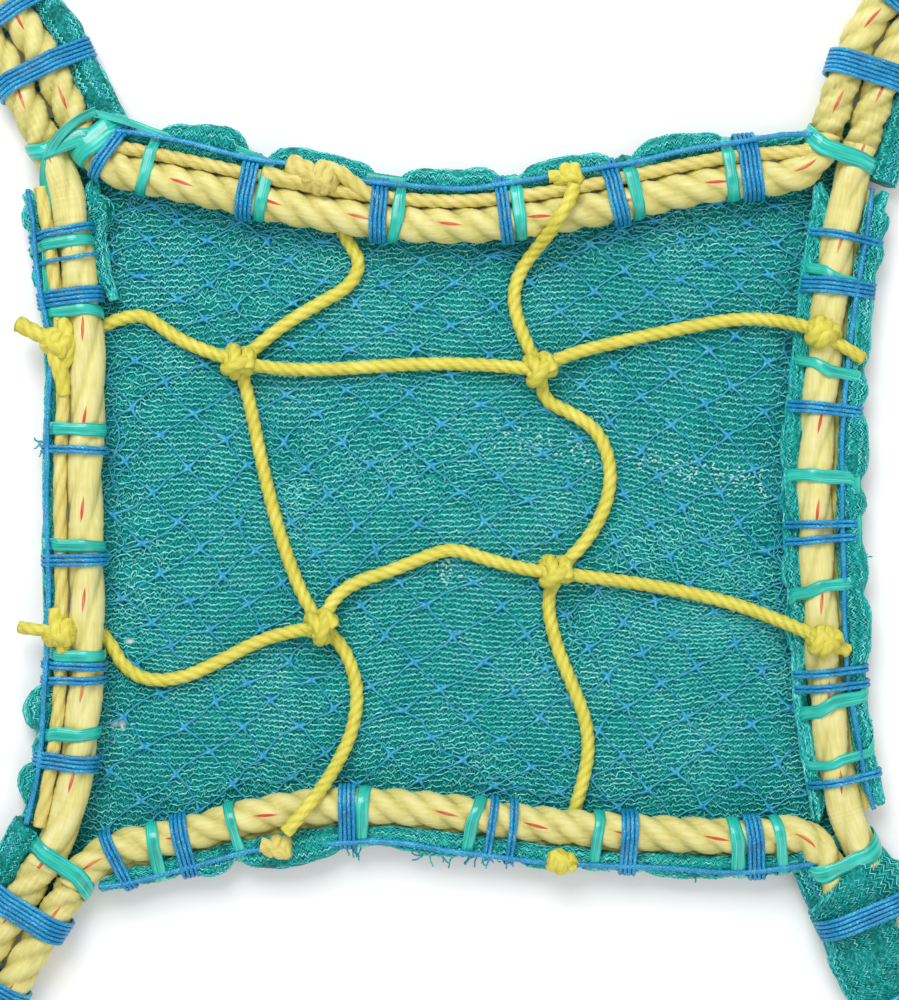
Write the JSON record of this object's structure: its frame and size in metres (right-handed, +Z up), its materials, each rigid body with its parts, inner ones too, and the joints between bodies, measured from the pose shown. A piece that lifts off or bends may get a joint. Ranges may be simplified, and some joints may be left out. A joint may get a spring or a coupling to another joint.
{
  "type": "knotted safety net panel",
  "caption": "Laid-rope frame with corner eyes and knotted mesh cords, lined with a diamond-mesh net and a knitted debris net that are lashed round its edge.",
  "frame": {"origin": "on the ground under the middle of the four corner eyes", "axes": "+X right, +Y towards the rear side, +Z up from the nets that lie on the ground"},
  "size_m": [0.384, 0.424, 0.0216],
  "materials": {
    "border_rope": "three-strand laid polypropylene, pale yellow with a red tracer",
    "mesh_cord": "laid polypropylene cord, bright yellow",
    "debris_net": "knitted green shade net",
    "fishing_net": "thin knotted blue twine",
    "twine": "braided blue twine",
    "tape": "flat green polypropylene tape, slightly glossy"
  },
  "bodies": {
    "left_panel": {"border_rope_left": "border_rope", "border_rope_rear_left": "border_rope", "border_rope_front_left": "border_rope", "selvedge_cord_left": "mesh_cord", "selvedge_cord_rear_left": "mesh_cord", "selvedge_cord_front_left": "mesh_cord", "mesh_cord_column_left": "mesh_cord", "mesh_cord_row_rear_left": "mesh_cord", "mesh_cord_row_front_left": "mesh_cord", "mesh_knot_rear_left": "mesh_cord", "mesh_knot_front_left": "mesh_cord", "hitch_left_rear": "mesh_cord", "hitch_left_front": "mesh_cord", "hitch_rear_left": "mesh_cord", "hitch_front_left": "mesh_cord", "net_hem_left": "debris_net", "net_hem_rear_left": "debris_net", "net_hem_front_left": "debris_net", "debris_net_left": "debris_net", "fishing_net_left": "fishing_net", "twine_lashings_left": "twine", "tape_lashings_left": "tape"},
    "right_panel": {"border_rope_right": "border_rope", "border_rope_rear_right": "border_rope", "border_rope_front_right": "border_rope", "selvedge_cord_right": "mesh_cord", "selvedge_cord_rear_right": "mesh_cord", "selvedge_cord_front_right": "mesh_cord", "mesh_cord_column_right": "mesh_cord", "mesh_cord_row_rear_right": "mesh_cord", "mesh_cord_row_front_right": "mesh_cord", "mesh_knot_rear_right": "mesh_cord", "mesh_knot_front_right": "mesh_cord", "hitch_right_rear": "mesh_cord", "hitch_right_front": "mesh_cord", "hitch_rear_right": "mesh_cord", "hitch_front_right": "mesh_cord", "net_hem_right": "debris_net", "net_hem_rear_right": "debris_net", "net_hem_front_right": "debris_net", "debris_net_right": "debris_net", "fishing_net_right": "fishing_net", "twine_lashings_right": "twine", "tape_lashings_right": "tape"},
    "corner_rear_left": {"corner_loop_rear_left": "border_rope", "net_gather_rear_left": "debris_net", "corner_seizing_rear_left": "twine"},
    "corner_rear_right": {"corner_loop_rear_right": "border_rope", "net_gather_rear_right": "debris_net", "corner_seizing_rear_right": "twine"},
    "corner_front_left": {"corner_loop_front_left": "border_rope", "net_gather_front_left": "debris_net", "corner_seizing_front_left": "twine"},
    "corner_front_right": {"corner_loop_front_right": "border_rope", "net_gather_front_right": "debris_net", "corner_seizing_front_right": "twine"}
  },
  "joints": [
    {"name": "half_fold", "type": "hinge", "parent": "right_panel", "child": "left_panel", "pos_m": [-0.005, 0, 0.0221], "axis": [0, 1, 0], "range_deg": [0, 180]},
    {"name": "loop_fold_rear_left", "type": "hinge", "parent": "left_panel", "child": "corner_rear_left", "pos_m": [-0.129, 0.124, 0.0176], "axis": [-0.901, -0.4338, 0], "range_deg": [-150, 0]},
    {"name": "loop_fold_rear_right", "type": "hinge", "parent": "right_panel", "child": "corner_rear_right", "pos_m": [0.131, 0.123, 0.0176], "axis": [-0.9529, 0.3032, 0], "range_deg": [-150, 0]},
    {"name": "loop_fold_front_left", "type": "hinge", "parent": "left_panel", "child": "corner_front_left", "pos_m": [-0.131, -0.122, 0.0176], "axis": [0.848, -0.53, 0], "range_deg": [-150, 0]},
    {"name": "loop_fold_front_right", "type": "hinge", "parent": "right_panel", "child": "corner_front_right", "pos_m": [0.132, -0.117, 0.0176], "axis": [0.9222, 0.3867, 0], "range_deg": [-150, 0]}
  ]
}
